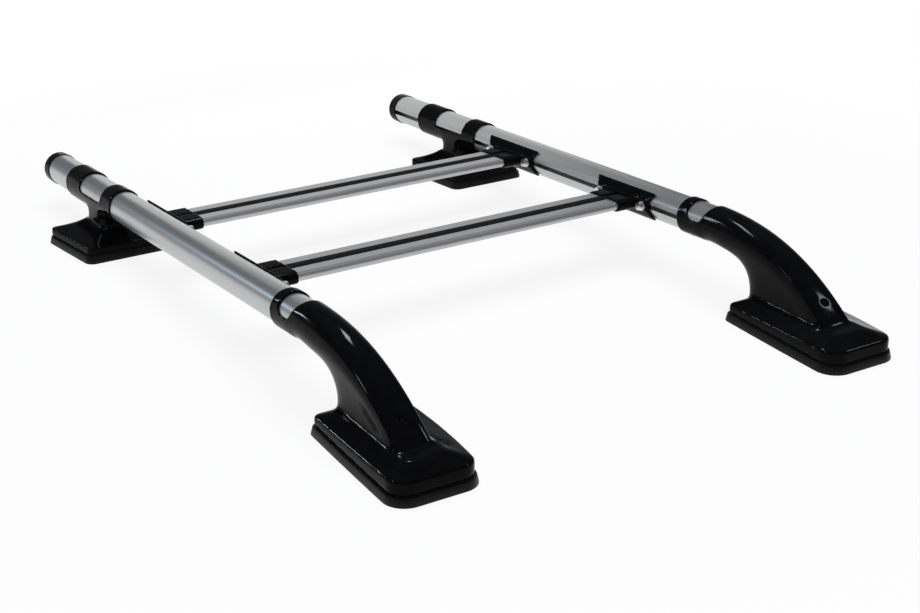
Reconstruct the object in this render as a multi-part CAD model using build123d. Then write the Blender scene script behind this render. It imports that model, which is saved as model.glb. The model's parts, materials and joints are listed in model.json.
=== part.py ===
from build123d import *
from math import atan2, cos, degrees, hypot, radians, sin, tan
import os

# Roof rack: two round rails on moulded feet, with two crossbars clamped between them.
# X runs across, +Y runs to the rear, +Z is up, and the feet stand on z = 0.
# The origin lies on the floor under the middle of the rack.

# Driving dimensions, in millimetres and degrees

OVERALL_LENGTH = 1466.0
RAIL_SPACING = 800.0
RAIL_HEIGHT = 114.0
RAIL_RISE_DEG = 2.95
FIT = 0.2
RUNNING_GAP = 0.4

RAIL_DIAMETER = 60.0
RAIL_WALL = 3.0
GROOVE_MOUTH = 9.0
GROOVE_LIP = 3.0
GROOVE_WIDTH = 17.0
GROOVE_DEPTH = 8.0
GROOVE_WALL = 2.4

CAP_LENGTH = 27.0
CAP_OVERLAP = 1.5
CAP_SPIGOT_LENGTH = 26.0
CAP_ROUND = 6.0

SLEEVE_WALL = 3.4
EDGE_ROUND = 1.2

REAR_RING_LENGTH = 70.0
REAR_INNER_RING_LENGTH = 48.0
REAR_WINDOW_LENGTH = 106.0
REAR_FOOT_SETBACK = 225.0
REAR_WINDOW_SILL = 1.0
REAR_WINDOW_CORNER = 10.0
NECK_WIDTH = 56.0
NECK_LENGTH = 100.0
NECK_SETBACK = 6.0
NECK_WALL = 4.0
TROUGH_FLOOR = 6.0
NECK_ROUND = 7.0
REAR_BASE_LENGTH = 156.0
REAR_BASE_SETBACK = 31.0
REAR_BASE_WIDTH = 156.0
REAR_BASE_REAR_WIDTH = 198.0
REAR_BASE_CORNER = 12.0
REAR_BASE_EDGE = 14.0
REAR_BASE_CROWN = 9.0
REAR_BASE_WALL = 4.0
REAR_BASE_ROUND = 2.5

PAD_THICKNESS = 15.0
PAD_LEDGE = 2.0
PAD_FLARE_DEG = 14.0

FRONT_FOOT_REACH = 449.0
FRONT_COLLAR_LENGTH = 26.0
FRONT_WINDOW_LENGTH = 34.0
FRONT_WINDOW_LEAN = 13.0
FRONT_WINDOW_SILL = 5.0
FRONT_WINDOW_CORNER = 13.0
FRONT_SOCKET_LENGTH = 34.0
ARM_END_SETBACK = 32.0
ARM_TOP_LEAD = 148.0
ARM_TOP_TAIL = 143.0
ARM_TOP_FALL_DEG = 46.0
ARM_UNDER_LEAD = 105.0
ARM_UNDER_TAIL = 70.0
ARM_WIDTH = 64.0
ARM_CROWN = 9.0
FIN_WIDTH = 50.0
ARM_SINK = 14.0
ARM_WALL = 4.0
ARM_CORE_STATION = 0.34
HEEL_SETBACK = 10.0
HEEL_FALL_DEG = 88.0
ARM_STATIONS = (0.0, 0.17, 0.34, 0.5, 0.66, 0.8, 0.87, 0.93, 1.0)
FIN_HEEL = 1.0
FIN_HEEL_RISE = 0.05
FIN_THROAT = 2.6
FIN_FLARE = 9.0
FIN_FLARE_START = 0.75
TONGUE_SQUARE = 0.9
ARC = 0.5523
FRONT_BASE_LENGTH = 272.0
FRONT_BASE_LEFT_FRONT = 68.0
FRONT_BASE_LEFT_REAR = 53.0
FRONT_BASE_RIGHT_FRONT = 68.0
FRONT_BASE_RIGHT_REAR = 90.0
FRONT_BASE_LEFT_BULGE = 1.0
FRONT_BASE_RIGHT_BULGE = 7.0
FRONT_BASE_CORNER = 30.0
FRONT_BASE_HEEL_CORNER = 12.0
FRONT_BASE_REAR_EDGE = 15.0
FRONT_BASE_FRONT_EDGE = 23.0
FRONT_BASE_WALL = 4.0
FRONT_BASE_ROUND = 3.0
FRONT_BASE_CROWN = 14.0
FRONT_BASE_CROWN_WIDTH = 70.0
FRONT_BASE_CROWN_INSET = 30.0
FRONT_BASE_CROWN_CORNER = 16.0
PLUG_DIAMETER = 9.0
PLUG_DEPTH = 3.0
PLUG_RECESS = 0.8
PLUG_STATION = 0.79

PLATE_THICKNESS = 4.0
PLATE_WIDTH = 84.0
PLATE_LENGTH = 104.0
PLATE_CORNER = 8.0
MOUNT_PITCH = 70.0
MOUNT_THREAD = 8.0
BUSH_DIAMETER = 16.0
BUSH_HEIGHT = 6.0
MOUNT_HOLE = 11.0

TUBE_SCREW_SHANK = 5.0
TUBE_SCREW_HEAD = 9.5
TUBE_SCREW_HEAD_HEIGHT = 3.5
TUBE_SCREW_PITCH = 44.0
TUBE_SCREW_REACH = 6.0

FRONT_BAR_GAP = 70.0
REAR_BAR_GAP = 56.0
BAR_WIDTH = 84.0
BAR_HEIGHT = 15.5
BAR_WALL = 2.0
STRIP_WIDTH = 25.0
STRIP_DEPTH = 2.5
STRIP_CROWN = 0.8
SLOT_MOUTH = 11.0
SLOT_WIDTH = 19.0
SLOT_LIP = 2.0
SLOT_DEPTH = 4.4

SADDLE_LENGTH = 168.0
SADDLE_WALL = 4.2
SADDLE_TOP_DEG = 47.0
SADDLE_BOTTOM_DEG = 50.0
SADDLE_SCOOP_RADIUS = 34.0
SADDLE_SCOOP_DEPTH = 9.0
HOOD_REACH = 76.0
HOOD_WALL = 3.2
HOOD_SLOT_WIDTH = 12.0
BAR_STOP = 4.0

CLAMP_PITCH = 124.0
CLAMP_THREAD = 8.0
CLAMP_HOLE = 8.6
CLAMP_HEAD_ACROSS_FLATS = 13.0
CLAMP_HEAD_HEIGHT = 6.0
CLAMP_FLANGE = 17.0
CLAMP_FLANGE_HEIGHT = 1.6
CLAMP_TIP = 1.5
CLAMP_BOSS = 22.0
CLAMP_BOSS_HEIGHT = 2.5
WASHER_DIAMETER = 18.0
WASHER_THICKNESS = 1.6
NUT_LENGTH = 30.0
BAR_SCREW_SHANK = 6.0
BAR_SCREW_HEAD = 10.5
BAR_SCREW_HEAD_HEIGHT = 3.2
BAR_SCREW_PITCH = 40.0
BAR_SCREW_INSET = 14.0
BAR_SCREW_TIP = 3.0

# Sizes that follow from the driving dimensions

RAIL_RADIUS = RAIL_DIAMETER / 2
BORE_RADIUS = RAIL_RADIUS - RAIL_WALL
SLEEVE_BORE = RAIL_RADIUS + FIT
SLEEVE_RADIUS = SLEEVE_BORE + SLEEVE_WALL
CAP_RADIUS = RAIL_RADIUS + CAP_OVERLAP
RISE = radians(RAIL_RISE_DEG)
RAIL_X = RAIL_SPACING / 2
CAP_END = (OVERALL_LENGTH / 2 - CAP_ROUND - (CAP_RADIUS - CAP_ROUND) * sin(RISE)) / cos(RISE) + CAP_ROUND
RAIL_REAR = CAP_END - CAP_LENGTH
REAR_FOOT_Y = RAIL_REAR - REAR_FOOT_SETBACK
FRONT_COLLAR_START = OVERALL_LENGTH / 2 - FRONT_FOOT_REACH
WINDOW_FRONT = FRONT_COLLAR_START + FRONT_COLLAR_LENGTH + FRONT_WINDOW_LENGTH
RAIL_FRONT = -(WINDOW_FRONT + FRONT_SOCKET_LENGTH)
PAD_TOP = PAD_THICKNESS
PAD_OUT = PAD_LEDGE + PAD_THICKNESS * tan(radians(PAD_FLARE_DEG))

# Rail coordinates: x across from the rail's axis, y along the rail to the rear, z normal to it
RAIL_LINE = Pos(0, 0, RAIL_HEIGHT) * Rot(-RAIL_RISE_DEG, 0, 0)
LEFT = Pos(-RAIL_X, 0, 0)
RIGHT = Pos(RAIL_X, 0, 0)


def rail_point(along, normal):
    """(y, z) over the floor of a point given along the rail and normal to it."""
    y = along * cos(RISE) + normal * sin(RISE)
    z = RAIL_HEIGHT - along * sin(RISE) + normal * cos(RISE)
    return y, z


def along_y(sketch, start, end):
    """Solid of an (x, z) sketch between two places along Y."""
    return Pos(0, end, 0) * extrude(Plane.XZ * sketch, amount=end - start)


def along_x(sketch, start, end):
    """Solid of a (y, z) sketch between two places along X."""
    return Pos(start, 0, 0) * extrude(Plane.YZ * sketch, amount=end - start)


def stack(sketch, bottom, top):
    """Solid of an (x, y) sketch between two heights."""
    return Pos(0, 0, bottom) * extrude(sketch, amount=top - bottom)


def rod_y(radius, start, end):
    return along_y(Circle(radius), start, end)


def rod_x(radius, start, end, y=0.0):
    return Pos(0, y, 0) * along_x(Circle(radius), start, end)


def rod_z(radius, bottom, top, y=0.0):
    return Pos(0, y, bottom) * Cylinder(radius, top - bottom, align=(Align.CENTER, Align.CENTER, Align.MIN))


def block(x0, x1, y0, y1, z0, z1):
    return Pos(x0, y0, z0) * Box(x1 - x0, y1 - y0, z1 - z0, align=Align.MIN)


def stadium(length, width):
    """Oblong with round ends, long along the sketch's first axis."""
    return SlotOverall(length, width)


# Rail: round tube with a T-groove on its inner side, in rail coordinates

GROOVE_BACK = RAIL_RADIUS - GROOVE_LIP - GROOVE_DEPTH


def groove_box(extra):
    """(x, z) sketch of the groove's chamber, grown all round by extra."""
    front = RAIL_RADIUS - GROOVE_LIP + extra
    back = GROOVE_BACK - extra
    return Pos((front + back) / 2, 0) * Rectangle(front - back, GROOVE_WIDTH + 2 * extra)


def tube_screw_places():
    middle = REAR_FOOT_Y - NECK_SETBACK
    return [middle - TUBE_SCREW_PITCH / 2, middle + TUBE_SCREW_PITCH / 2]


FRONT_SCREW_PLACE = -(FRONT_COLLAR_START + FRONT_COLLAR_LENGTH / 2)


def rail_tube():
    ring = Circle(RAIL_RADIUS) - Circle(BORE_RADIUS)
    channel = groove_box(GROOVE_WALL) & Circle(RAIL_RADIUS)
    mouth = Pos(RAIL_RADIUS, 0) * Rectangle(2 * (GROOVE_LIP + FIT), GROOVE_MOUTH)
    tube = along_y(ring + channel - groove_box(0) - mouth, RAIL_FRONT, RAIL_REAR)
    for place in tube_screw_places() + [FRONT_SCREW_PLACE]:
        tube -= rod_z(TUBE_SCREW_SHANK / 2, -RAIL_RADIUS - FIT, 0, place)
    return tube


def rear_end_cap():
    head = fillet(rod_y(CAP_RADIUS, RAIL_REAR, RAIL_REAR + CAP_LENGTH).edges().sort_by(Axis.Y)[-1], CAP_ROUND)
    head = fillet(head.edges().sort_by(Axis.Y)[0], EDGE_ROUND / 2)
    spigot = Circle(BORE_RADIUS - FIT) - groove_box(GROOVE_WALL + FIT)
    spigot -= Pos(RAIL_RADIUS, 0) * Rectangle(2 * GROOVE_DEPTH, GROOVE_WIDTH)
    spigot -= Circle(BORE_RADIUS - FIT - RAIL_WALL)
    return head + along_y(spigot, RAIL_REAR - CAP_SPIGOT_LENGTH, RAIL_REAR)


# Rear foot: two rings round the tube, a trough under it, an oblong neck and a wide low base

RING_REAR = REAR_FOOT_Y + REAR_WINDOW_LENGTH / 2 + REAR_RING_LENGTH
RING_FRONT = REAR_FOOT_Y - REAR_WINDOW_LENGTH / 2 - REAR_INNER_RING_LENGTH
NECK_Y = REAR_FOOT_Y - NECK_SETBACK
REAR_BASE_Y = REAR_FOOT_Y - REAR_BASE_SETBACK
REAR_BASE_TOP = PAD_TOP + REAR_BASE_EDGE
REAR_POCKET_TOP = REAR_BASE_TOP - REAR_BASE_WALL
TROUGH_SEAT = -RAIL_RADIUS - TROUGH_FLOOR


def rear_base_plan(grow):
    front, rear = -REAR_BASE_LENGTH / 2 - grow, REAR_BASE_LENGTH / 2 + grow
    half_front, half_rear = REAR_BASE_WIDTH / 2 + grow, REAR_BASE_REAR_WIDTH / 2 + grow
    corners = [(half_front, front), (half_rear, rear), (-half_rear, rear), (-half_front, front)]
    plan = make_face(Polyline(*corners, close=True))
    return Pos(0, REAR_BASE_Y) * fillet(plan.vertices(), REAR_BASE_CORNER + grow)


def window(rear, front, lean, sill, corner):
    """Opening through a sleeve above a sill, with round lower corners, in rail coordinates.

    Its front edge leans forward by lean from the sill to the sleeve's top.
    """
    top = 2 * SLEEVE_RADIUS
    lean_top = front - lean * (top - sill) / (SLEEVE_RADIUS - sill)
    outline = make_face(Polyline((rear, top), (rear, sill), (front, sill), (lean_top, top), close=True))
    outline = fillet(outline.vertices().group_by(Axis.Y)[0], corner)
    return along_x(outline, -top, top)


def neck_plan(grow):
    return Pos(0, NECK_Y) * Rot(0, 0, 90) * stadium(NECK_LENGTH + 2 * grow, NECK_WIDTH + 2 * grow)


def rear_foot():
    sleeve = RAIL_LINE * rod_y(SLEEVE_RADIUS, RING_FRONT, RING_REAR)
    neck = stack(neck_plan(0), PAD_TOP, rail_point(NECK_Y, 0)[1])
    base = stack(rear_base_plan(0), PAD_TOP, REAR_BASE_TOP)
    crown = loft([Pos(0, 0, REAR_BASE_TOP) * rear_base_plan(-REAR_BASE_ROUND),
                  Pos(0, 0, REAR_BASE_TOP + REAR_BASE_CROWN) * neck_plan(NECK_ROUND)], ruled=True)
    foot = base + crown + neck + sleeve
    foot -= RAIL_LINE * rod_y(SLEEVE_BORE, RING_FRONT - SLEEVE_WALL, RING_REAR + SLEEVE_WALL)
    half_window = REAR_WINDOW_LENGTH / 2
    foot -= RAIL_LINE * window(REAR_FOOT_Y + half_window, REAR_FOOT_Y - half_window, 0, REAR_WINDOW_SILL,
                               REAR_WINDOW_CORNER)
    foot -= stack(rear_base_plan(-REAR_BASE_WALL), PAD_TOP, REAR_POCKET_TOP)
    under_trough = block(-NECK_WIDTH, NECK_WIDTH, RING_FRONT, RING_REAR, -RAIL_HEIGHT, TROUGH_SEAT)
    foot -= stack(neck_plan(-NECK_WALL), PAD_TOP, RAIL_HEIGHT) & (RAIL_LINE * under_trough)
    for place in tube_screw_places():
        foot -= RAIL_LINE * rod_z(TUBE_SCREW_SHANK / 2 + FIT, TROUGH_SEAT - FIT, 0, place)
    return foot


def tube_screw(place, seat):
    """Pan-head screw driven up into the tube, with its head under a seat."""
    shank = rod_z(TUBE_SCREW_SHANK / 2, seat, TUBE_SCREW_REACH - RAIL_RADIUS, place)
    head = rod_z(TUBE_SCREW_HEAD / 2, seat - TUBE_SCREW_HEAD_HEIGHT, seat, place)
    head = fillet(head.edges().sort_by(Axis.Z)[0], TUBE_SCREW_HEAD_HEIGHT / 3)
    return RAIL_LINE * (head + shank)


def rear_tube_screws():
    return Compound(children=[tube_screw(place, TROUGH_SEAT) for place in tube_screw_places()])


def mount_places(middle):
    return [middle - MOUNT_PITCH / 2, middle + MOUNT_PITCH / 2]


def mount_plate(middle, ceiling):
    """Steel plate against the pocket's ceiling, with two threaded bushes that face down."""
    low = ceiling - PLATE_THICKNESS
    plate = stack(RectangleRounded(PLATE_WIDTH, PLATE_LENGTH, PLATE_CORNER), low, ceiling)
    plate = Pos(0, middle, 0) * plate
    for place in mount_places(middle):
        plate += rod_z(BUSH_DIAMETER / 2, low - BUSH_HEIGHT, low, place)
    for place in mount_places(middle):
        plate -= rod_z(MOUNT_THREAD / 2, low - BUSH_HEIGHT, ceiling, place)
    return plate


def foot_pad(plan, middle):
    """Rubber pad that flares out towards the floor, with holes under the threaded bushes."""
    pad = loft([plan(PAD_OUT), Pos(0, 0, PAD_TOP) * plan(PAD_LEDGE)], ruled=True)
    for place in mount_places(middle):
        pad -= rod_z(MOUNT_HOLE / 2, 0, PAD_TOP, place)
    return pad


# Front foot: collar and window on the tube, an arch that sweeps down to a long low base, and a fin under it

FRONT_BASE_FRONT = PAD_OUT - OVERALL_LENGTH / 2
FRONT_BASE_REAR = FRONT_BASE_FRONT + FRONT_BASE_LENGTH
FRONT_BASE_Y = (FRONT_BASE_FRONT + FRONT_BASE_REAR) / 2
FRONT_POCKET_TOP = PAD_TOP + FRONT_BASE_REAR_EDGE - FRONT_BASE_WALL


def front_base_top(y):
    """Height of the base's sloping top at a place along Y."""
    share = (FRONT_BASE_REAR - y) / FRONT_BASE_LENGTH
    return PAD_TOP + FRONT_BASE_REAR_EDGE + share * (FRONT_BASE_FRONT_EDGE - FRONT_BASE_REAR_EDGE)


def front_base_plan(grow):
    front, rear = FRONT_BASE_FRONT - grow, FRONT_BASE_REAR + grow
    left_front, left_rear = -FRONT_BASE_LEFT_FRONT - grow, -FRONT_BASE_LEFT_REAR - grow
    right_front, right_rear = FRONT_BASE_RIGHT_FRONT + grow, FRONT_BASE_RIGHT_REAR + grow
    left_middle = (left_front + left_rear) / 2 - FRONT_BASE_LEFT_BULGE
    right_middle = (right_front + right_rear) / 2 + FRONT_BASE_RIGHT_BULGE
    middle = (front + rear) / 2
    plan = make_face([
        Line((right_front, front), (left_front, front)),
        ThreePointArc((left_front, front), (left_middle, middle), (left_rear, rear)),
        Line((left_rear, rear), (right_rear, rear)),
        ThreePointArc((right_rear, rear), (right_middle, middle), (right_front, front)),
    ])
    plan = fillet(plan.vertices().group_by(Axis.Y)[0], max(FRONT_BASE_CORNER + grow, FRONT_BASE_WALL))
    return fillet(plan.vertices().group_by(Axis.Y)[-1], max(FRONT_BASE_HEEL_CORNER + grow, FRONT_BASE_WALL))


def front_crown_plan():
    length = FRONT_BASE_LENGTH - 2 * FRONT_BASE_CROWN_INSET
    return Pos(0, FRONT_BASE_Y) * RectangleRounded(FRONT_BASE_CROWN_WIDTH, length, FRONT_BASE_CROWN_CORNER)


def front_base():
    low, high = FRONT_BASE_REAR + FRONT_BASE_WALL, FRONT_BASE_FRONT - FRONT_BASE_WALL
    wedge = along_x(make_face(Polyline((low, PAD_TOP), (high, PAD_TOP), (high, front_base_top(high)),
                                       (low, front_base_top(low)), close=True)),
                    -2 * FRONT_BASE_LEFT_FRONT, 2 * FRONT_BASE_RIGHT_REAR)
    base = stack(front_base_plan(0), PAD_TOP, RAIL_HEIGHT) & wedge
    base = fillet(base.faces().sort_by(Axis.Z)[-1].edges(), FRONT_BASE_ROUND)
    slope = degrees(atan2(FRONT_BASE_FRONT_EDGE - FRONT_BASE_REAR_EDGE, FRONT_BASE_LENGTH))
    tilted = Pos(0, FRONT_BASE_Y, front_base_top(FRONT_BASE_Y)) * Rot(-slope, 0, 0) * Pos(0, -FRONT_BASE_Y, 0)
    crown = loft([front_base_plan(-FRONT_BASE_ROUND - FIT),
                  Pos(0, 0, FRONT_BASE_CROWN) * front_crown_plan()], ruled=True)
    return base + tilted * crown


def bezier(points, t):
    """Point at t on the curve of four control points."""
    shares = ((1 - t) ** 3, 3 * t * (1 - t) ** 2, 3 * t * t * (1 - t), t ** 3)
    return [sum(share * point[axis] for share, point in zip(shares, points)) for axis in (0, 1)]


def lead_curve(start, lead, end, tail, fall_deg):
    """Control points of a curve that leaves along the rail and comes down at fall_deg."""
    fall = radians(fall_deg)
    return [start, (start[0] - lead * cos(RISE), start[1] + lead * sin(RISE)),
            (end[0] + tail * cos(fall), end[1] + tail * sin(fall)), end]


ARM_END = FRONT_BASE_FRONT + ARM_END_SETBACK
HEEL_END = FRONT_BASE_REAR - HEEL_SETBACK
ARM_TOP = lead_curve(rail_point(-WINDOW_FRONT, SLEEVE_RADIUS), ARM_TOP_LEAD,
                     (ARM_END, front_base_top(ARM_END) - ARM_SINK), ARM_TOP_TAIL, ARM_TOP_FALL_DEG)
ARM_UNDER = lead_curve(rail_point(-WINDOW_FRONT, -SLEEVE_RADIUS), ARM_UNDER_LEAD,
                       (HEEL_END, front_base_top(HEEL_END) - ARM_SINK), ARM_UNDER_TAIL, HEEL_FALL_DEG)


def raised(points):
    """The same curve with one more control point."""
    count = len(points)
    inner = [[(i * before[k] + (count - i) * after[k]) / count for k in (0, 1)]
             for i, (before, after) in enumerate(zip(points, points[1:]), start=1)]
    return [points[0]] + inner + [points[-1]]


def arm_outline(height, t, inset):
    """Control points (x, up) of the lower and upper half outlines of an arm section, right side.

    It goes from the tube's round (t 0) to a crowned tongue on a narrower fin that flares (t 1).
    """
    blend = t * t * (3 - 2 * t)
    flare = FIN_FLARE * max(0, (t - FIN_FLARE_START) / (1 - FIN_FLARE_START)) ** 2
    crown, fin, lip = ARM_CROWN, FIN_WIDTH / 2 + flare, ARM_WIDTH / 2
    radius, middle = SLEEVE_RADIUS, height / 2
    round_low = [(0, 0), (ARC * radius, 0), (radius, middle - ARC * middle), (radius, middle)]
    round_high = [(radius, middle), (radius, middle + ARC * middle), (ARC * radius, height), (0, height)]
    fin_low = [(0, 0), (FIN_HEEL * fin, 0), (fin, FIN_HEEL_RISE * height), (fin, height / 2),
               (fin, height - FIN_THROAT * crown), (lip, height - crown)]
    fin_high = [(lip, height - crown), (lip, height - crown + TONGUE_SQUARE * crown),
                (TONGUE_SQUARE * lip, height), (0, height)]
    shrink = (height - 2 * inset) / height

    def blended(start, end):
        return [(max(x0 + blend * (x1 - x0) - inset, 0), inset + shrink * (up0 + blend * (up1 - up0)))
                for (x0, up0), (x1, up1) in zip(start, end)]

    return blended(raised(raised(round_low)), fin_low), blended(round_high, fin_high)


def arm_section(t, inset):
    """Face of one arm section, between the arch's top line and its underside."""
    top, under = bezier(ARM_TOP, t), bezier(ARM_UNDER, t)
    height = hypot(top[0] - under[0], top[1] - under[1])
    low, high = arm_outline(height, t, inset)
    right = [Bezier(*low), Bezier(*high)]
    left = [Bezier(*[(-x, up) for x, up in reversed(points)]) for points in (high, low)]
    upward = Vector(0, top[0] - under[0], top[1] - under[1])
    plane = Plane(origin=(0, under[0], under[1]), x_dir=(1, 0, 0), z_dir=Vector(1, 0, 0).cross(upward))
    return plane * make_face(right + left)


def arm(start, inset):
    """Arch and fin from one station down into the base."""
    return loft([arm_section(t, inset) for t in ARM_STATIONS if t >= start])


def plug_frame():
    """Place on the arch's top line, facing out of it, where the screw plug sits."""
    here, ahead = bezier(ARM_TOP, PLUG_STATION), bezier(ARM_TOP, PLUG_STATION + 0.01)
    slope = atan2(here[1] - ahead[1], here[0] - ahead[0])
    return Pos(0, here[0], here[1]) * Rot(degrees(slope), 0, 0)


def front_foot():
    collar = extrude(arm_section(0, 0), amount=FRONT_COLLAR_LENGTH + FRONT_WINDOW_LENGTH,
                     dir=(0, cos(RISE), -sin(RISE)))
    core = arm(ARM_CORE_STATION, ARM_WALL)
    foot = (front_base() - core) + (arm(0, 0) - core) + collar
    foot -= stack(front_base_plan(-FRONT_BASE_WALL), PAD_TOP, FRONT_POCKET_TOP)
    foot -= RAIL_LINE * rod_y(SLEEVE_BORE, RAIL_FRONT, 0)
    foot -= RAIL_LINE * window(FRONT_WINDOW_LENGTH - WINDOW_FRONT, -WINDOW_FRONT, FRONT_WINDOW_LEAN,
                               FRONT_WINDOW_SILL, FRONT_WINDOW_CORNER)
    foot -= plug_frame() * rod_z(PLUG_DIAMETER / 2, -PLUG_DEPTH, ARM_CROWN)
    foot -= RAIL_LINE * rod_z(TUBE_SCREW_SHANK / 2 + FIT, -2 * RAIL_RADIUS, 0, FRONT_SCREW_PLACE)
    return foot


def front_screw_plug():
    plug = rod_z(PLUG_DIAMETER / 2 - FIT / 2, -PLUG_DEPTH, -PLUG_RECESS)
    return plug_frame() * chamfer(plug.edges().sort_by(Axis.Z)[-1], PLUG_RECESS / 2)


# Crossbar: flat hollow extrusion with a rubber strip in its top, in rail coordinates along X

BAR_HALF = BAR_HEIGHT / 2
STRIP_FLOOR = BAR_HALF - STRIP_DEPTH
SLOT_TOP = STRIP_FLOOR - SLOT_LIP
SLOT_FLOOR = SLOT_TOP - SLOT_DEPTH
SADDLE_BORE = RAIL_RADIUS + RUNNING_GAP
SADDLE_RADIUS = SADDLE_BORE + SADDLE_WALL
FRONT_BAR_Y = SADDLE_LENGTH / 2 + FRONT_BAR_GAP - FRONT_COLLAR_START
REAR_BAR_Y = RING_FRONT - REAR_BAR_GAP - SADDLE_LENGTH / 2
BAR_END = RAIL_X - SADDLE_RADIUS - BAR_STOP
STRIP_END = RAIL_X - HOOD_REACH
BAR_SCREW_X = HOOD_REACH - BAR_SCREW_INSET
HOOD_GROW = FIT + HOOD_WALL
HOOD_UNDERSIDE = -BAR_HALF - HOOD_GROW


def slab(width, bottom, top):
    """(y, z) rectangle centred on the bar's middle, between two heights."""
    return Pos(0, (bottom + top) / 2) * Rectangle(width, top - bottom)


def bar_screw_places():
    return [(side * (RAIL_X - BAR_SCREW_X), y) for side in (-1, 1)
            for y in (-BAR_SCREW_PITCH / 2, BAR_SCREW_PITCH / 2)]


def bar_outline(grow):
    return stadium(BAR_WIDTH + 2 * grow, BAR_HEIGHT + 2 * grow)


def crossbar():
    skin = bar_outline(0) - bar_outline(-BAR_WALL)
    spine = slab(max(STRIP_WIDTH, SLOT_WIDTH) + 2 * BAR_WALL, SLOT_FLOOR - BAR_WALL, BAR_HALF)
    section = skin + (spine & bar_outline(0)) - slab(STRIP_WIDTH, STRIP_FLOOR, BAR_HEIGHT)
    section -= slab(SLOT_MOUTH, SLOT_TOP, BAR_HEIGHT)
    section -= slab(SLOT_WIDTH, SLOT_FLOOR, SLOT_TOP)
    bar = along_x(section, -BAR_END, BAR_END)
    for x, y in bar_screw_places():
        bar -= Pos(x, 0, 0) * rod_z(BAR_SCREW_SHANK / 2, -BAR_HEIGHT, SLOT_FLOOR - BAR_WALL, y)
    return bar


def rubber_strip():
    half = STRIP_WIDTH / 2 - FIT
    top = BAR_HALF + STRIP_CROWN
    head = make_face([
        Line((half, BAR_HALF), (half, STRIP_FLOOR)),
        Line((half, STRIP_FLOOR), (-half, STRIP_FLOOR)),
        Line((-half, STRIP_FLOOR), (-half, BAR_HALF)),
        ThreePointArc((-half, BAR_HALF), (0, top), (half, BAR_HALF)),
    ])
    keel = slab(SLOT_MOUTH - 2 * FIT, SLOT_TOP - STRIP_DEPTH, STRIP_FLOOR)
    barb = slab((SLOT_MOUTH + SLOT_WIDTH) / 2, SLOT_TOP - STRIP_DEPTH, SLOT_TOP)
    return along_x(head + keel + barb, -STRIP_END, STRIP_END)


# Bracket: a saddle on the tube's inner half and a hood over the bar's end, x measured from the tube's axis

def clamp_places():
    return [-CLAMP_PITCH / 2, CLAMP_PITCH / 2]


CLAMP_SEAT = SADDLE_RADIUS + CLAMP_BOSS_HEIGHT
NUT_FACE = RAIL_RADIUS - GROOVE_LIP - RUNNING_GAP
NUT_BACK = GROOVE_BACK + RUNNING_GAP


def saddle():
    top, bottom, reach = radians(SADDLE_TOP_DEG), radians(SADDLE_BOTTOM_DEG), 2 * SADDLE_RADIUS
    sector = make_face(Polyline((0, 0), (reach * cos(bottom), -reach * sin(bottom)), (reach, 0),
                                (reach * cos(top), reach * sin(top)), close=True))
    shell = along_y(Circle(SADDLE_RADIUS) & sector, -SADDLE_LENGTH / 2, SADDLE_LENGTH / 2)
    centre = SADDLE_LENGTH / 2 + SADDLE_SCOOP_RADIUS - SADDLE_SCOOP_DEPTH
    for y in (-centre, centre):
        shell -= rod_x(SADDLE_SCOOP_RADIUS, 0, reach, y)
    return shell


def left_bracket():
    hood = along_x(bar_outline(HOOD_GROW), 0, HOOD_REACH)
    body = saddle() + hood
    for y in clamp_places():
        body += rod_x(CLAMP_BOSS / 2, 0, CLAMP_SEAT, y)
    body -= rod_y(SADDLE_BORE, -SADDLE_LENGTH, SADDLE_LENGTH)
    body -= along_x(bar_outline(FIT), SADDLE_RADIUS + BAR_STOP, HOOD_REACH)
    body -= along_x(slab(HOOD_SLOT_WIDTH, BAR_HALF, BAR_HEIGHT), SADDLE_RADIUS + BAR_STOP, HOOD_REACH)
    for y in clamp_places():
        body -= rod_x(CLAMP_HOLE / 2, 0, CLAMP_SEAT, y)
    for y in (-BAR_SCREW_PITCH / 2, BAR_SCREW_PITCH / 2):
        body -= Pos(BAR_SCREW_X, 0, 0) * rod_z(BAR_SCREW_SHANK / 2 + FIT, HOOD_UNDERSIDE, 0, y)
    return body


def clamp_bolt(y):
    """Flange bolt from the saddle's boss into the T-nut."""
    under_head = CLAMP_SEAT + WASHER_THICKNESS
    flange_top = under_head + CLAMP_FLANGE_HEIGHT
    shank = rod_x(CLAMP_THREAD / 2, NUT_BACK + CLAMP_TIP, under_head, y)
    flange = rod_x(CLAMP_FLANGE / 2, under_head, flange_top, y)
    hexagon = RegularPolygon(CLAMP_HEAD_ACROSS_FLATS / 2, 6, major_radius=False)
    head = Pos(0, y, 0) * along_x(hexagon, flange_top, flange_top + CLAMP_HEAD_HEIGHT)
    return shank + flange + head


def washer(y):
    disc = Circle(WASHER_DIAMETER / 2) - Circle(CLAMP_HOLE / 2)
    return Pos(0, y, 0) * along_x(disc, CLAMP_SEAT, CLAMP_SEAT + WASHER_THICKNESS)


def t_nut(y):
    half = GROOVE_WIDTH / 2 - RUNNING_GAP
    nut = block(NUT_BACK, NUT_FACE, y - NUT_LENGTH / 2, y + NUT_LENGTH / 2, -half, half)
    return nut - rod_x(CLAMP_THREAD / 2 + FIT / 2, NUT_BACK, NUT_FACE, y)


def bar_screw(x, y):
    """Screw from under the hood into the bar."""
    head = rod_z(BAR_SCREW_HEAD / 2, HOOD_UNDERSIDE - BAR_SCREW_HEAD_HEIGHT, HOOD_UNDERSIDE, y)
    head = fillet(head.edges().sort_by(Axis.Z)[0], BAR_SCREW_HEAD_HEIGHT / 3)
    shank = rod_z(BAR_SCREW_SHANK / 2, HOOD_UNDERSIDE, BAR_WALL - BAR_HALF + BAR_SCREW_TIP, y)
    return Pos(x, 0, 0) * (head + shank)


def right_of(shape):
    """The same piece on the right-hand side."""
    return mirror(shape, about=Plane.YZ)


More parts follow.
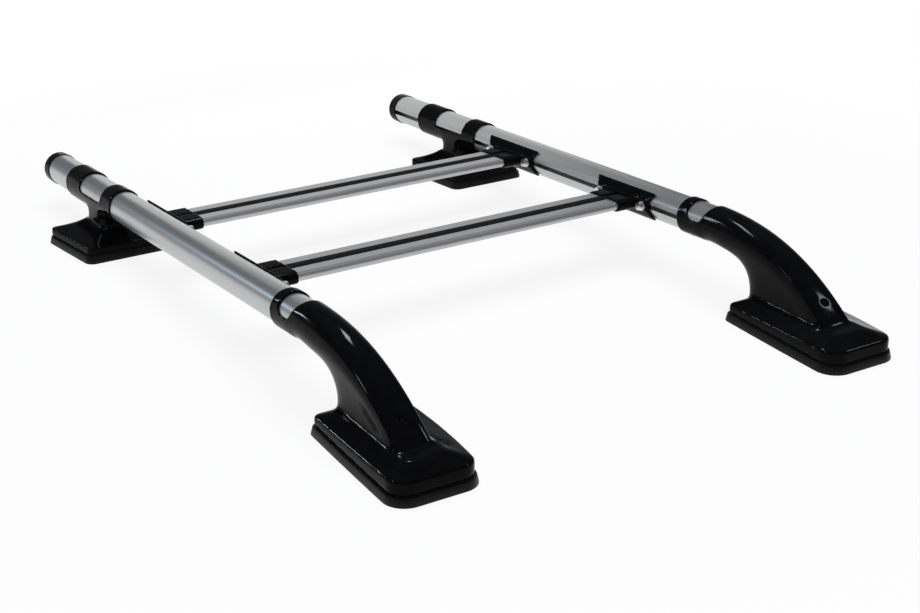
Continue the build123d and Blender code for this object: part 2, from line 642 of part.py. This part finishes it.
def both_ends(make):
    """A group of one piece at each clamp place of both ends of a crossbar."""
    left = [LEFT * make(y) for y in clamp_places()]
    return Compound(children=left + [right_of(piece) for piece in left])


def handed_pieces():
    """Pieces of the left rail and its rear foot, by name, which the right side mirrors."""
    return {
        "rail_tube": RAIL_LINE * rail_tube(),
        "rear_end_cap": RAIL_LINE * rear_end_cap(),
        "rear_foot": rear_foot(),
        "rear_foot_pad": foot_pad(rear_base_plan, REAR_BASE_Y),
        "rear_mount_plate": mount_plate(REAR_BASE_Y, REAR_POCKET_TOP),
        "rear_tube_screws": rear_tube_screws(),
    }


def front_foot_pieces():
    """Pieces of a front foot, by name, the same on both sides."""
    return {
        "front_foot": front_foot(),
        "front_foot_pad": foot_pad(front_base_plan, FRONT_BASE_Y),
        "front_mount_plate": mount_plate(FRONT_BASE_Y, FRONT_POCKET_TOP),
        "front_tube_screw": tube_screw(FRONT_SCREW_PLACE, -SLEEVE_RADIUS),
        "front_screw_plug": front_screw_plug(),
    }


def crossbar_pieces():
    """Pieces of one crossbar, by name, centred on its own middle."""
    bracket = LEFT * left_bracket()
    return {
        "crossbar": crossbar(),
        "rubber_strip": rubber_strip(),
        "left_bracket": bracket,
        "right_bracket": right_of(bracket),
        "clamp_bolts": both_ends(clamp_bolt),
        "clamp_washers": both_ends(washer),
        "t_nuts": both_ends(t_nut),
        "bar_screws": Compound(children=[bar_screw(x, y) for x, y in bar_screw_places()]),
    }


os.makedirs("parts", exist_ok=True)
for name, piece in handed_pieces().items():
    left = LEFT * piece
    export_step(left, f"parts/left_{name}.step")
    export_step(right_of(left), f"parts/right_{name}.step")
for name, piece in front_foot_pieces().items():
    export_step(LEFT * piece, f"parts/left_{name}.step")
    export_step(RIGHT * piece, f"parts/right_{name}.step")
for place, y in (("front", FRONT_BAR_Y), ("rear", REAR_BAR_Y)):
    for name, piece in crossbar_pieces().items():
        export_step(RAIL_LINE * Pos(0, y, 0) * piece, f"parts/{place}_{name}.step")
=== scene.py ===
import json
import math

import bmesh
import bpy
import numpy as np
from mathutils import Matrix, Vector


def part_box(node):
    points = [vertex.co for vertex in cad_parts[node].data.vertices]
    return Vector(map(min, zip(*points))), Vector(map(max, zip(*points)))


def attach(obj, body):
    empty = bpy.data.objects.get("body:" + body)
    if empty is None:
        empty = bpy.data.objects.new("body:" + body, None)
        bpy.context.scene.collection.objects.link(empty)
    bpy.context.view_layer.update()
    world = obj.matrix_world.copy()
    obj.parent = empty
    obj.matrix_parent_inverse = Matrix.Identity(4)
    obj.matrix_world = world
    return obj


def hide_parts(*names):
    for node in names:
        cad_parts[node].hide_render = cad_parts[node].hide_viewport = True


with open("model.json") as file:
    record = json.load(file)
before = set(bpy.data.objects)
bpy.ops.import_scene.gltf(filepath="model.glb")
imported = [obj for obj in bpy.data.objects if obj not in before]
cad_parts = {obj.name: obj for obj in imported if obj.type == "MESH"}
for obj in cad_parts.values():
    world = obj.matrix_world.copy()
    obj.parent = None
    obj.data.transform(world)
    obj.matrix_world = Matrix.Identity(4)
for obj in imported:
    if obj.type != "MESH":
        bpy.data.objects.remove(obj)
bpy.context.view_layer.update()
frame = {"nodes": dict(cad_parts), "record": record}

NODES = frame["nodes"]
BEHAVIOUR = frame["record"]["behaviour"]
RAIL_AXIS = Vector(BEHAVIOUR["joints"][0]["axis"])
RAIL_TURN = math.atan2(RAIL_AXIS.z, RAIL_AXIS.y)
BODY_OF = {node: body for body, nodes in BEHAVIOUR["bodies"].items() for node in nodes}

# Camera at the photograph's viewing angle: place in metres, lens and sensor in millimetres
CAMERA_AT = Vector((-1.4941, -2.5089, 1.1629))
CAMERA_LOOKS = Vector((0.4936, 0.7791, -0.3865))
CAMERA_LENS = 67.53
SENSOR_WIDTH = 36.0
CLIP_END = 100.0

# Moulded skins: the size of their even quads, in metres
FRONT_FOOT_VOXEL = 0.00175
REAR_FOOT_VOXEL = 0.0018
BRACKET_VOXEL = 0.0012

# Moulded skins: rounds of smoothing all over, on side walls and in valleys
FRONT_EVEN_ROUNDS = 11
EVEN_ROUNDS = 3
WALL_ROUNDS = 180
FOOT_VALLEY_ROUNDS = 30
BRACKET_VALLEY_ROUNDS = 17

# Moulded skins: share of its way that a point goes in a round, and of that on ridges while valleys fill
STEP = 0.5
RIDGE_SHARE = 0.04

# Side walls of a foot, from not at all to fully: how far they face sideways, and their height in metres
WALL_FACING = (0.75, 0.92)
WALL_HEIGHT = (0.046, 0.058)

# Foot pads, lengths in metres: a flared wall with rounded edges, under a groove that parts pad and foot
PAD_FLARE = math.tan(math.radians(14.0))
PAD_ROUND = 0.0009
CORNER_SHARE = 0.3
SEAM_HEIGHT = 0.0020
SEAM_DEPTH = 0.0075
PAD_CREASE = math.radians(40.0)
WELD_GAP = 1e-6
FLAT_GAP = 1e-5

# Pale floor, lengths in metres: white far out, with room for a faint shadow near the rack
FLOOR_HALF = 14.0
FLOOR_GREY = 0.88
NEAR_WHITE = 0.86
NEAR_RADIUS = 0.8
FAR_RADIUS = 1.7

# Studio walls and ceiling: their tint, and their level by the sine of the height they are seen at
WALL_TINT = (0.97, 1.0, 1.06)
WALL_LEVELS = ((0.0, 0.60), (0.05, 0.36), (0.14, 0.20), (0.6, 0.15), (0.8, 0.40), (1.0, 0.40))

# Lamps: name, place, target, width, height, watts, colour, whether it shows in reflections
ROOM_LAMPS = (
    ("overhead", (0.0, -0.2, 3.6), (0.0, -0.1, 0.0), 3.2, 3.2, 115.0, (1.0, 1.0, 1.0), False),
    ("low_panel", (0.575, 1.3, 0.425), (0.575, 0.0, 0.425), 1.65, 0.55, 2.0, (1.0, 1.0, 0.97), True),
    ("high_panel", (0.575, 1.3, 0.875), (0.575, 0.0, 0.875), 1.65, 0.35, 0.70, (1.0, 1.0, 0.97), True),
    ("left_strip", (-1.58, 1.84, 0.98), (0.0, -0.2, 0.15), 0.16, 0.30, 1.8, (0.70, 0.86, 1.0), True),
)
GLOSS_LAMPS = (
    ("left_glint", (-1.58, 1.84, 0.98), (0.0, -0.4, 0.15), 0.16, 0.60, 15.0, (0.84, 0.92, 1.0), True),
    ("rear_glint", (0.26, 0.52, 1.66), (0.77, 0.11, 0.56), 0.44, 0.20, 12.4, (0.84, 0.92, 1.0), True),
    ("right_glint", (3.6, -1.5, 3.6), (0.0, -0.6, 0.1), 0.50, 0.50, 24.0, (0.86, 0.93, 1.0), True),
    ("high_glint", (-2.5, 0.3, 2.4), (0.0, -0.6, 0.1), 0.40, 0.40, 20.0, (0.92, 0.96, 1.0), True),
)


def link(obj):
    bpy.context.scene.collection.objects.link(obj)
    return obj


# Materials

NOISE_ROUGHNESS = 0.6
TINT_STOPS = (0.3, 0.7)


def node_material(name):
    """New node material with its tree, its shader and a function that adds nodes to it."""
    material = bpy.data.materials.new(name)
    material.use_nodes = True
    tree = material.node_tree
    shader = tree.nodes["Principled BSDF"]

    def add(kind, **values):
        node = tree.nodes.new(kind)
        for key, value in values.items():
            if key in node.inputs:
                node.inputs[key].default_value = value
            else:
                setattr(node, key, value)
        return node

    return material, tree, shader, add


def set_inputs(shader, values):
    for key, value in values.items():
        shader.inputs[key].default_value = value


def streaks(tree, add, grain, detail, turn):
    """Noise with a grain of a given size along each axis, in metres, turned about X."""
    place = add("ShaderNodeTexCoord")
    mapping = add("ShaderNodeMapping", vector_type="TEXTURE", Scale=grain, Rotation=(turn, 0, 0))
    noise = add("ShaderNodeTexNoise", Scale=1.0, Detail=detail, Roughness=NOISE_ROUGHNESS)
    tree.links.new(place.outputs["Object"], mapping.inputs["Vector"])
    tree.links.new(mapping.outputs["Vector"], noise.inputs["Vector"])
    return noise.outputs["Fac"]


def ranged(tree, add, value, low, high, start=0.0, end=1.0):
    """Value that goes from low to high as another goes from start to end."""
    limits = {"From Min": start, "From Max": end, "To Min": low, "To Max": high}
    node = add("ShaderNodeMapRange", **limits)
    tree.links.new(value, node.inputs["Value"])
    return node.outputs["Result"]


def tinted(tree, add, value, dark, light):
    ramp_node = add("ShaderNodeValToRGB")
    for stop, position, tint in zip(ramp_node.color_ramp.elements, TINT_STOPS, (dark, light)):
        stop.position = position
        stop.color = (*tint, 1)
    tree.links.new(value, ramp_node.inputs["Fac"])
    return ramp_node.outputs["Color"]


def bumped(tree, add, shader, value, strength, distance):
    bump = add("ShaderNodeBump", Strength=strength, Distance=distance)
    tree.links.new(value, bump.inputs["Height"])
    tree.links.new(bump.outputs["Normal"], shader.inputs["Normal"])


def grained(name, values, grain, detail, tints, roughness, turn=0.0, relief=None):
    """Material whose tint, roughness and fine relief follow one noise."""
    material, tree, shader, add = node_material(name)
    set_inputs(shader, values)
    noise = streaks(tree, add, grain, detail, turn)
    tree.links.new(tinted(tree, add, noise, *tints), shader.inputs["Base Color"])
    tree.links.new(ranged(tree, add, noise, *roughness), shader.inputs["Roughness"])
    if relief:
        bumped(tree, add, shader, noise, *relief)
    return material


def satin_aluminium(name, grain, tints, roughness):
    """Anodised metal with fine drawing lines along the extrusion."""
    return grained(name, {"Metallic": 0.92}, grain=grain, detail=3.0, tints=tints, roughness=roughness,
                   turn=RAIL_TURN)


def gloss_black():
    """Polished black plastic that is a little uneven."""
    return grained("gloss_black_plastic", {"Specular IOR Level": 0.04}, grain=(0.016, 0.016, 0.016),
                   detail=2.0, tints=((0.0022, 0.0022, 0.0026), (0.0040, 0.0040, 0.0048)),
                   roughness=(0.05, 0.12), relief=(0.02, 0.0004))


def black_rubber(name, level, roughness):
    """Rubber with a fine grain, which reflects at a given level."""
    return grained(name, {"Specular IOR Level": level}, grain=(0.0014, 0.0014, 0.0014), detail=4.0,
                   tints=((0.004, 0.004, 0.004), (0.009, 0.009, 0.0095)), roughness=roughness,
                   relief=(0.10, 0.0003))


def zinc_steel():
    """Plated steel with a faint spangle."""
    return grained("zinc_plated_steel", {"Metallic": 1.0}, grain=(0.004, 0.004, 0.004), detail=3.0,
                   tints=((0.62, 0.61, 0.57), (0.80, 0.80, 0.78)), roughness=(0.2, 0.34),
                   relief=(0.08, 0.0002))


RAIL_METAL = satin_aluminium("satin_aluminium_rail", grain=(0.0004, 0.2, 0.0004),
                             tints=((0.48, 0.49, 0.49), (0.54, 0.55, 0.55)), roughness=(0.31, 0.35))
BAR_METAL = satin_aluminium("satin_aluminium_bar", grain=(0.2, 0.0004, 0.0004),
                            tints=((0.48, 0.48, 0.49), (0.54, 0.54, 0.55)), roughness=(0.41, 0.45))
PLASTIC = gloss_black()
PAD_RUBBER = black_rubber("black_moulded_rubber", level=0.16, roughness=(0.28, 0.42))
STRIP_RUBBER = black_rubber("black_strip_rubber", level=0.02, roughness=(0.55, 0.70))
ZINC = zinc_steel()

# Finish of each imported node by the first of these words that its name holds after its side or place
FINISH = (
    ("rail_tube", RAIL_METAL),
    ("rubber_strip", STRIP_RUBBER),
    ("foot_pad", PAD_RUBBER),
    ("screw_plug", PLASTIC),
    ("crossbar", BAR_METAL),
    ("plate", ZINC),
    ("bolts", ZINC),
    ("washers", ZINC),
    ("nuts", ZINC),
    ("screw", ZINC),
    ("", PLASTIC),
)


def finish_of(name):
    tail = name.split("_", 1)[1]
    for word, material in FINISH:
        if word in tail:
            return material


for name, node in NODES.items():
    node.data.materials.clear()
    node.data.materials.append(finish_of(name))


# Moulded pieces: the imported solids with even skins, crisp ridges and softly filled valleys

def evaluated_mesh(obj):
    graph = bpy.context.evaluated_depsgraph_get()
    return bpy.data.meshes.new_from_object(obj.evaluated_get(graph))


def remeshed(node, voxel):
    """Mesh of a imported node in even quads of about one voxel."""
    copy = link(bpy.data.objects.new("skin", node.data.copy()))
    remesh = copy.modifiers.new("voxels", "REMESH")
    remesh.mode = "VOXEL"
    remesh.voxel_size = voxel
    mesh = evaluated_mesh(copy)
    bpy.data.objects.remove(copy)
    return mesh


def drop_inner_shells(mesh):
    """Deletes every shell of the mesh but the one that reaches furthest along X."""
    shape = bmesh.new()
    shape.from_mesh(mesh)
    start = max(shape.verts, key=lambda vertex: vertex.co.x)
    seen, front = {start}, [start]
    while front:
        vertex = front.pop()
        for edge in vertex.link_edges:
            other = edge.other_vert(vertex)
            if other not in seen:
                seen.add(other)
                front.append(other)
    inner = [vertex for vertex in shape.verts if vertex not in seen]
    bmesh.ops.delete(shape, geom=inner, context="VERTS")
    shape.to_mesh(mesh)
    shape.free()


def vectors_of(mesh, key):
    values = np.empty(len(mesh.vertices) * 3)
    mesh.vertices.foreach_get(key, values)
    return values.reshape(-1, 3)


def relaxed(mesh, weight, rounds, ridge_share=1.0):
    """Moves each vertex, round after round, by its weight to its neighbours' mean, and less on ridges."""
    points, normals, count = vectors_of(mesh, "co"), vectors_of(mesh, "normal"), len(mesh.vertices)
    ends = np.empty(len(mesh.edges) * 2, dtype=np.int32)
    mesh.edges.foreach_get("vertices", ends)
    one, two = ends.reshape(-1, 2).T
    neighbours = np.maximum(np.bincount(one, minlength=count) + np.bincount(two, minlength=count), 1)
    for _ in range(rounds):
        total = [np.bincount(one, points[two, axis], count) + np.bincount(two, points[one, axis], count)
                 for axis in range(3)]
        pull = np.stack(total, axis=1) / neighbours[:, None] - points
        hollow = np.einsum("ij,ij->i", pull, normals) > 0
        points += (weight * np.where(hollow, 1.0, ridge_share))[:, None] * pull
    mesh.vertices.foreach_set("co", points.ravel())
    mesh.update()


def smooth_step(values, low, high):
    """Smooth 0 to 1 as values go from low to high."""
    share = np.clip((values - low) / (high - low), 0, 1)
    return share * share * (3 - 2 * share)


def moulded(name, mesh, material):
    """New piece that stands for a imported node, on that node's body."""
    mesh.materials.clear()
    mesh.materials.append(material)
    mesh.shade_smooth()
    piece = link(bpy.data.objects.new(f"{name}_moulding", mesh))
    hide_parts(name)
    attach(piece, BODY_OF[name])
    return piece


def make_foot(name, voxel, even_rounds):
    """Foot with evened side walls, whose forms meet in soft valleys."""
    mesh = remeshed(NODES[name], voxel)
    drop_inner_shells(mesh)
    everywhere = np.full(len(mesh.vertices), STEP)
    relaxed(mesh, everywhere, even_rounds)
    sideways, height = np.abs(vectors_of(mesh, "normal")[:, 0]), vectors_of(mesh, "co")[:, 2]
    walls = smooth_step(sideways, *WALL_FACING) * smooth_step(height, *WALL_HEIGHT)
    relaxed(mesh, STEP * walls, WALL_ROUNDS)
    relaxed(mesh, everywhere, FOOT_VALLEY_ROUNDS, RIDGE_SHARE)
    return moulded(name, mesh, PLASTIC)


def make_bracket(name):
    """Bracket with crisp edges, whose saddle and hood meet in soft valleys."""
    mesh = remeshed(NODES[name], BRACKET_VOXEL)
    everywhere = np.full(len(mesh.vertices), STEP)
    relaxed(mesh, everywhere, EVEN_ROUNDS)
    relaxed(mesh, everywhere, BRACKET_VALLEY_ROUNDS, RIDGE_SHARE)
    return moulded(name, mesh, PLASTIC)


# Foot pads

def underside_loops(node):
    """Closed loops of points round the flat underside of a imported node, the widest along X first."""
    shape = bmesh.new()
    shape.from_mesh(node.data)
    bmesh.ops.remove_doubles(shape, verts=shape.verts, dist=WELD_GAP)
    floor = min(vertex.co.z for vertex in shape.verts)
    # A dict keeps the faces in order, so that every run walks the loops the same way
    flat = dict.fromkeys(face for face in shape.faces
                         if all(vertex.co.z < floor + FLAT_GAP for vertex in face.verts))
    beside = {}
    for face in flat:
        for edge in face.edges:
            if sum(other in flat for other in edge.link_faces) == 1:
                one, two = edge.verts
                beside.setdefault(one, []).append(two)
                beside.setdefault(two, []).append(one)
    loops = []
    while beside:
        loop, here = [], next(iter(beside))
        while here is not None:
            loop.append(np.array(here.co))
            here = next((other for other in beside.pop(here) if other in beside), None)
        loops.append(np.array(loop))
    shape.free()
    return sorted(loops, key=lambda loop: np.ptp(loop[:, 0]), reverse=True)


def inset(loop, distance):
    """Loop moved inwards, square to its own line."""
    ahead = np.roll(loop, -1, axis=0) - loop
    ahead /= np.linalg.norm(ahead, axis=1)[:, None]
    across = np.stack([-ahead[:, 1], ahead[:, 0], 0 * ahead[:, 0]], axis=1)
    before = np.roll(across, 1, axis=0)
    middle = across + before
    middle *= 2 / np.sum(middle * middle, axis=1)[:, None]
    area = np.sum(loop[:, 0] * np.roll(loop[:, 1], -1) - loop[:, 1] * np.roll(loop[:, 0], -1))
    return loop + math.copysign(distance, area) * middle


def pad_profile(height):
    """Pairs of inset and height, from the underside up the flared wall, over the lip and into the seam."""
    lip = height - SEAM_HEIGHT
    low, high = PAD_ROUND, lip - PAD_ROUND
    corner = CORNER_SHARE * PAD_ROUND
    return ((PAD_ROUND, 0.0), (corner, corner), (PAD_FLARE * low, low), (PAD_FLARE * high, high),
            (PAD_FLARE * lip + corner, lip - corner), (PAD_FLARE * lip + PAD_ROUND, lip),
            (SEAM_DEPTH, lip), (SEAM_DEPTH, height))


def band(shape, lower, upper):
    for k in range(len(lower)):
        shape.faces.new((lower[k - 1], lower[k], upper[k], upper[k - 1]))


def rim(shape, ring):
    return [shape.edges.get((ring[k - 1], ring[k])) for k in range(len(ring))]


def make_pad(name):
    """Rubber pad with a grooved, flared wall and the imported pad's bolt holes."""
    low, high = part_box(name)
    height = high[2] - low[2]
    outer, *holes = underside_loops(NODES[name])
    shape = bmesh.new()

    def ring(loop, rise):
        return [shape.verts.new((x, y, low[2] + rise)) for x, y, _ in loop]

    rings = [ring(inset(outer, distance), rise) for distance, rise in pad_profile(height)]
    for lower, upper in zip(rings, rings[1:]):
        band(shape, lower, upper)
    bores = [(ring(hole, 0.0), ring(hole, height)) for hole in holes]
    for lower, upper in bores:
        band(shape, lower, upper)
    for end, wall in ((0, rings[0]), (1, rings[-1])):
        edges = rim(shape, wall)
        for bore in bores:
            edges += rim(shape, bore[end])
        bmesh.ops.triangle_fill(shape, edges=edges, use_beauty=True)
    bmesh.ops.recalc_face_normals(shape, faces=shape.faces)
    mesh = bpy.data.meshes.new(name)
    shape.to_mesh(mesh)
    shape.free()
    moulded(name, mesh, PAD_RUBBER)
    mesh.set_sharp_from_angle(angle=PAD_CREASE)


GLOSS_PIECES = []
for side in ("left", "right"):
    GLOSS_PIECES.append(make_foot(f"{side}_front_foot", FRONT_FOOT_VOXEL, FRONT_EVEN_ROUNDS))
    GLOSS_PIECES.append(make_foot(f"{side}_rear_foot", REAR_FOOT_VOXEL, EVEN_ROUNDS))
    make_pad(f"{side}_front_foot_pad")
    make_pad(f"{side}_rear_foot_pad")
for place in ("front", "rear"):
    for side in ("left", "right"):
        GLOSS_PIECES.append(make_bracket(f"{place}_{side}_bracket"))


# Camera, floor and light

def look(obj, direction):
    obj.rotation_mode = "QUATERNION"
    obj.rotation_quaternion = direction.to_track_quat("-Z", "Y")


def make_camera():
    data = bpy.data.cameras.new("camera")
    data.lens = CAMERA_LENS
    data.sensor_width = SENSOR_WIDTH
    data.clip_end = CLIP_END
    camera = link(bpy.data.objects.new("camera", data))
    camera.location = CAMERA_AT
    look(camera, CAMERA_LOOKS)
    bpy.context.scene.camera = camera


def pale_floor():
    """Material that shows white to the camera and in reflections, with a faint shadow near the rack."""
    material, tree, shader, add = node_material("pale_floor")
    grey = (FLOOR_GREY, FLOOR_GREY, FLOOR_GREY, 1)
    set_inputs(shader, {"Base Color": grey, "Roughness": 0.9, "Specular IOR Level": 0.1})
    path = add("ShaderNodeLightPath")
    seen = path.outputs["Is Camera Ray"]
    for ray in ("Is Glossy Ray", "Is Transmission Ray"):
        either = add("ShaderNodeMath", operation="MAXIMUM")
        tree.links.new(seen, either.inputs[0])
        tree.links.new(path.outputs[ray], either.inputs[1])
        seen = either.outputs[0]
    place = add("ShaderNodeTexCoord")
    radius = add("ShaderNodeVectorMath", operation="LENGTH")
    tree.links.new(place.outputs["Object"], radius.inputs[0])
    white_share = ranged(tree, add, radius.outputs["Value"], NEAR_WHITE, 1.0, NEAR_RADIUS, FAR_RADIUS)
    share = add("ShaderNodeMath", operation="MULTIPLY")
    tree.links.new(seen, share.inputs[0])
    tree.links.new(white_share, share.inputs[1])
    white = add("ShaderNodeEmission", Color=(1, 1, 1, 1))
    mix = add("ShaderNodeMixShader")
    tree.links.new(share.outputs[0], mix.inputs["Fac"])
    tree.links.new(shader.outputs[0], mix.inputs[1])
    tree.links.new(white.outputs[0], mix.inputs[2])
    tree.links.new(mix.outputs[0], tree.nodes["Material Output"].inputs["Surface"])
    return material


def make_floor():
    mesh = bpy.data.meshes.new("floor")
    corners = [(x * FLOOR_HALF, y * FLOOR_HALF, 0) for x, y in ((-1, -1), (1, -1), (1, 1), (-1, 1))]
    mesh.from_pydata(corners, [], [(0, 1, 2, 3)])
    mesh.materials.append(pale_floor())
    floor = link(bpy.data.objects.new("floor", mesh))


def make_world():
    """Studio walls, pale at the floor and dim above, under a lighter ceiling."""
    world = bpy.data.worlds.new("studio")
    bpy.context.scene.world = world
    world.use_nodes = True
    tree = world.node_tree
    place = tree.nodes.new("ShaderNodeTexCoord")
    split = tree.nodes.new("ShaderNodeSeparateXYZ")
    ramp_node = tree.nodes.new("ShaderNodeValToRGB")
    stops = ramp_node.color_ramp.elements
    while len(stops) < len(WALL_LEVELS):
        stops.new(0.5)
    for stop, (position, level) in zip(stops, WALL_LEVELS):
        stop.position = position
        stop.color = (*(tint * level for tint in WALL_TINT), 1)
    tree.links.new(place.outputs["Generated"], split.inputs["Vector"])
    tree.links.new(split.outputs["Z"], ramp_node.inputs["Fac"])
    tree.links.new(ramp_node.outputs["Color"], tree.nodes["Background"].inputs["Color"])


def receivers(name, state):
    """Group of the gloss mouldings, which a lamp lights alone or leaves out."""
    group = bpy.data.collections.new(name)
    for piece in GLOSS_PIECES:
        group.objects.link(piece)
    for member in group.collection_objects:
        member.light_linking.link_state = state
    return group


def make_lamps(lamps, group):
    for name, at, target, width, height, watts, colour, mirrored in lamps:
        data = bpy.data.lights.new(name, "AREA")
        data.shape = "RECTANGLE"
        data.size = width
        data.size_y = height
        data.energy = watts
        data.color = colour
        lamp = link(bpy.data.objects.new(name, data))
        lamp.location = at
        lamp.visible_glossy = mirrored
        lamp.light_linking.receiver_collection = group
        look(lamp, Vector(target) - Vector(at))


make_camera()
make_floor()
make_world()
make_lamps(ROOM_LAMPS, receivers("all_but_gloss", "EXCLUDE"))
make_lamps(GLOSS_LAMPS, receivers("gloss_alone", "INCLUDE"))
bpy.context.scene.view_settings.view_transform = "Standard"
